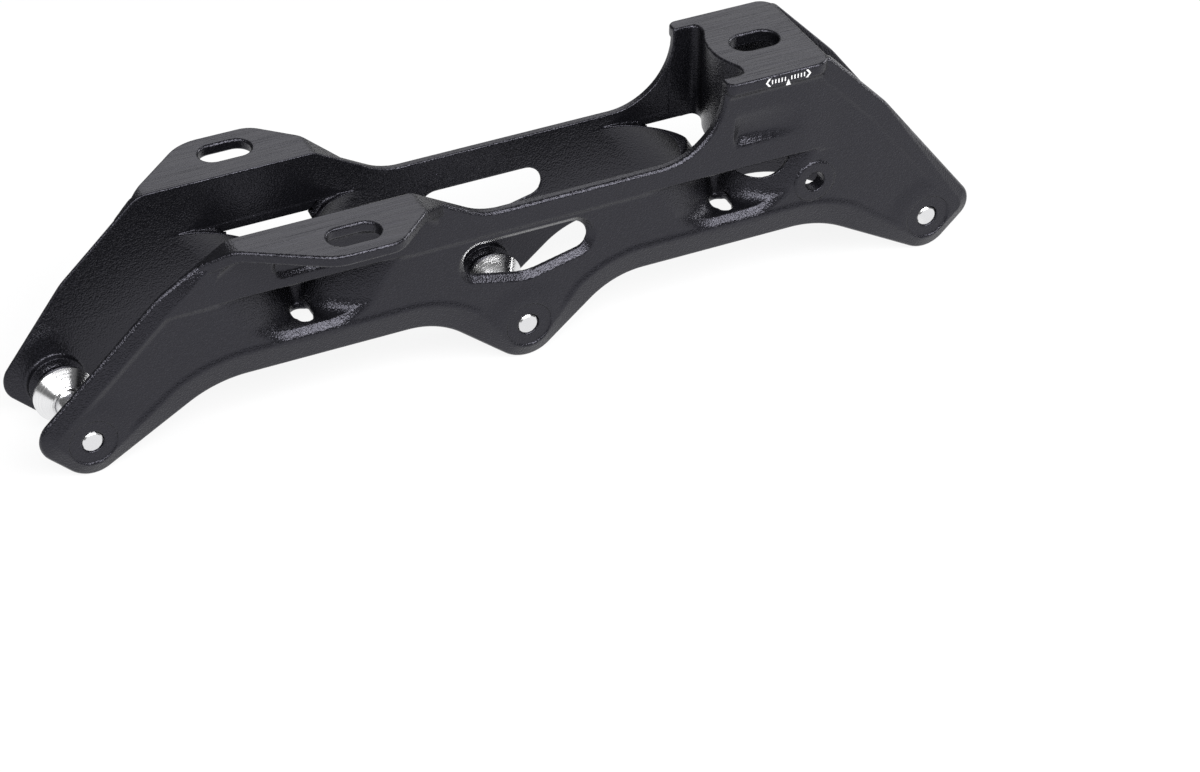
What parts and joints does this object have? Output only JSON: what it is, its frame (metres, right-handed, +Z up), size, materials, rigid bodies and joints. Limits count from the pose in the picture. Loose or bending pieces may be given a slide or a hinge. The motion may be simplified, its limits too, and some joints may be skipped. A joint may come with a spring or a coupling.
{
  "type": "inline skate frame",
  "caption": "Milled three-wheel inline skate frame for the left foot: twin side plates, offset front flanges, raised heel deck, X-braces, screwed axles and loose bearing spacers.",
  "frame": {"origin": "on the ground under the middle axle, halfway between the side plates; the frame stands on its axle lobes", "axes": "+X to the toe, +Y to the skater's left, +Z up to the boot"},
  "size_m": [0.2834, 0.0712, 0.0738],
  "materials": {
    "black_aluminium": "satin",
    "bright_axle": "satin",
    "bright_spacer": "polished"
  },
  "bodies": {
    "frame": {"chassis": "black_aluminium"},
    "axle_front": {"axle_front": "bright_axle"},
    "spacer_front": {"spacer_front": "bright_spacer"},
    "axle_middle": {"axle_middle": "bright_axle"},
    "spacer_middle": {"spacer_middle": "bright_spacer"},
    "axle_rear": {"axle_rear": "bright_axle"},
    "spacer_rear": {"spacer_rear": "bright_spacer"}
  },
  "joints": [
    {"name": "axle_front_draw", "type": "slide", "parent": "frame", "child": "axle_front", "axis": [0, -1, 0], "range_m": [0, 0.036]},
    {"name": "spacer_front_spin", "type": "hinge", "parent": "frame", "child": "spacer_front", "pos_m": [0.1275, 0, 0.0112], "axis": [0, 1, 0], "continuous": true},
    {"name": "axle_middle_draw", "type": "slide", "parent": "frame", "child": "axle_middle", "axis": [0, -1, 0], "range_m": [0, 0.036]},
    {"name": "spacer_middle_spin", "type": "hinge", "parent": "frame", "child": "spacer_middle", "pos_m": [0, 0, 0.0112], "axis": [0, 1, 0], "continuous": true},
    {"name": "axle_rear_draw", "type": "slide", "parent": "frame", "child": "axle_rear", "axis": [0, -1, 0], "range_m": [0, 0.036]},
    {"name": "spacer_rear_spin", "type": "hinge", "parent": "frame", "child": "spacer_rear", "pos_m": [-0.1275, 0, 0.0112], "axis": [0, 1, 0], "continuous": true}
  ]
}
